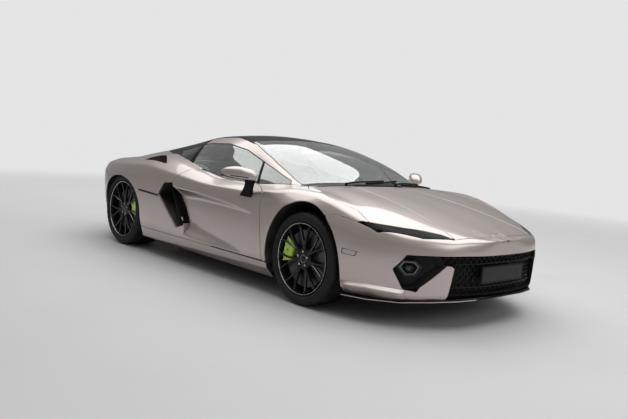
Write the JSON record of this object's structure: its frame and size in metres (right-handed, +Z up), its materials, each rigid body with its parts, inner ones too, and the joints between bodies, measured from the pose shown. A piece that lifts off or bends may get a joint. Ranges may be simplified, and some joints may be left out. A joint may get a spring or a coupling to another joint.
{
  "type": "two-seat mid-engined supercar",
  "caption": "Low wedge-shaped two-seat coupe with a cab-forward greenhouse, side intakes, opening doors and lids, steered front wheels and rolling road wheels.",
  "frame": {"origin": "on the ground below the middle of the car", "axes": "+X ahead, +Y to the car's left, +Z up"},
  "size_m": [4.6, 2.27, 1.176],
  "materials": {
    "body_paint": "metallic champagne silver, glossy clear coat",
    "gloss_black": "gloss black",
    "matte_black": "satin black",
    "clear_glass": "lightly tinted, clear",
    "dark_glass": "dark tint",
    "lamp_glass": "smoked lens",
    "red_lens": "red lens",
    "tyre_rubber": "matt rubber",
    "rim_black": "gloss black with machined edges",
    "disc_iron": "turned",
    "caliper_green": "gloss lime green",
    "chassis_metal": "dark satin",
    "engine_metal": "cast",
    "exhaust_steel": "brushed",
    "cabin_leather": "black leather",
    "cabin_trim": "soft black"
  },
  "bodies": {
    "body": {"floor_pan": "chassis_metal", "bulkheads": "chassis_metal", "front_tub": "chassis_metal", "rear_frame": "chassis_metal", "hinge_posts": "chassis_metal", "front_bumper": "body_paint", "front_splitter": "gloss_black", "front_grille": "matte_black", "headlamps": "lamp_glass", "day_lamps": "lamp_glass", "front_fenders": "body_paint", "cowl": "matte_black", "windscreen": "clear_glass", "roof_frame": "body_paint", "roof_panel": "gloss_black", "quarter_glass": "dark_glass", "sails": "gloss_black", "rear_quarters": "body_paint", "tail_deck": "body_paint", "rear_bumper": "body_paint", "tail_grille": "matte_black", "tail_lamps": "red_lens", "diffuser": "matte_black", "exhaust": "exhaust_steel", "engine_block": "engine_metal", "seats": "cabin_leather", "dashboard": "cabin_trim", "steering_wheel": "cabin_leather", "side_skirts": "body_paint", "side_ducts": "gloss_black", "suspension": "chassis_metal", "calipers_rear": "caliper_green"},
    "hood": {"hood": "body_paint"},
    "engine_lid": {"engine_lid": "gloss_black"},
    "door_left": {"door_left": "body_paint", "door_glass_left": "clear_glass", "mirror_left": "body_paint"},
    "knuckle_left": {"knuckle_left": "chassis_metal", "caliper_left": "caliper_green"},
    "wheel_front_left": {"tyre_front_left": "tyre_rubber", "rim_front_left": "rim_black", "disc_front_left": "disc_iron"},
    "wheel_rear_left": {"tyre_rear_left": "tyre_rubber", "rim_rear_left": "rim_black", "disc_rear_left": "disc_iron"},
    "door_right": {"door_right": "body_paint", "door_glass_right": "clear_glass", "mirror_right": "body_paint"},
    "knuckle_right": {"knuckle_right": "chassis_metal", "caliper_right": "caliper_green"},
    "wheel_front_right": {"tyre_front_right": "tyre_rubber", "rim_front_right": "rim_black", "disc_front_right": "disc_iron"},
    "wheel_rear_right": {"tyre_rear_right": "tyre_rubber", "rim_rear_right": "rim_black", "disc_rear_right": "disc_iron"}
  },
  "joints": [
    {"name": "hood_hinge", "type": "hinge", "parent": "body", "child": "hood", "pos_m": [1.103, 0, 0.8255], "axis": [0, -1, 0], "range_deg": [0, 58]},
    {"name": "engine_lid_hinge", "type": "hinge", "parent": "body", "child": "engine_lid", "pos_m": [-0.618, 0, 1.129], "axis": [0, 1, 0], "range_deg": [0, 45]},
    {"name": "door_left_hinge", "type": "hinge", "parent": "body", "child": "door_left", "pos_m": [0.75, 0.955, 0.4], "axis": [0, 0, -1], "range_deg": [0, 62]},
    {"name": "steer_left", "type": "hinge", "parent": "body", "child": "knuckle_left", "pos_m": [1.262, 0.8225, 0.333], "axis": [0, 0, 1], "range_deg": [-32, 32]},
    {"name": "wheel_front_left_spin", "type": "hinge", "parent": "knuckle_left", "child": "wheel_front_left", "pos_m": [1.262, 0.8225, 0.333], "axis": [0, 1, 0], "continuous": true},
    {"name": "wheel_rear_left_spin", "type": "hinge", "parent": "body", "child": "wheel_rear_left", "pos_m": [-1.396, 0.7925, 0.348], "axis": [0, 1, 0], "continuous": true},
    {"name": "door_right_hinge", "type": "hinge", "parent": "body", "child": "door_right", "pos_m": [0.75, -0.955, 0.4], "axis": [0, 0, 1], "range_deg": [0, 62]},
    {"name": "steer_right", "type": "hinge", "parent": "body", "child": "knuckle_right", "pos_m": [1.262, -0.8225, 0.333], "axis": [0, 0, 1], "range_deg": [-32, 32]},
    {"name": "wheel_front_right_spin", "type": "hinge", "parent": "knuckle_right", "child": "wheel_front_right", "pos_m": [1.262, -0.8225, 0.333], "axis": [0, 1, 0], "continuous": true},
    {"name": "wheel_rear_right_spin", "type": "hinge", "parent": "body", "child": "wheel_rear_right", "pos_m": [-1.396, -0.7925, 0.348], "axis": [0, 1, 0], "continuous": true}
  ]
}
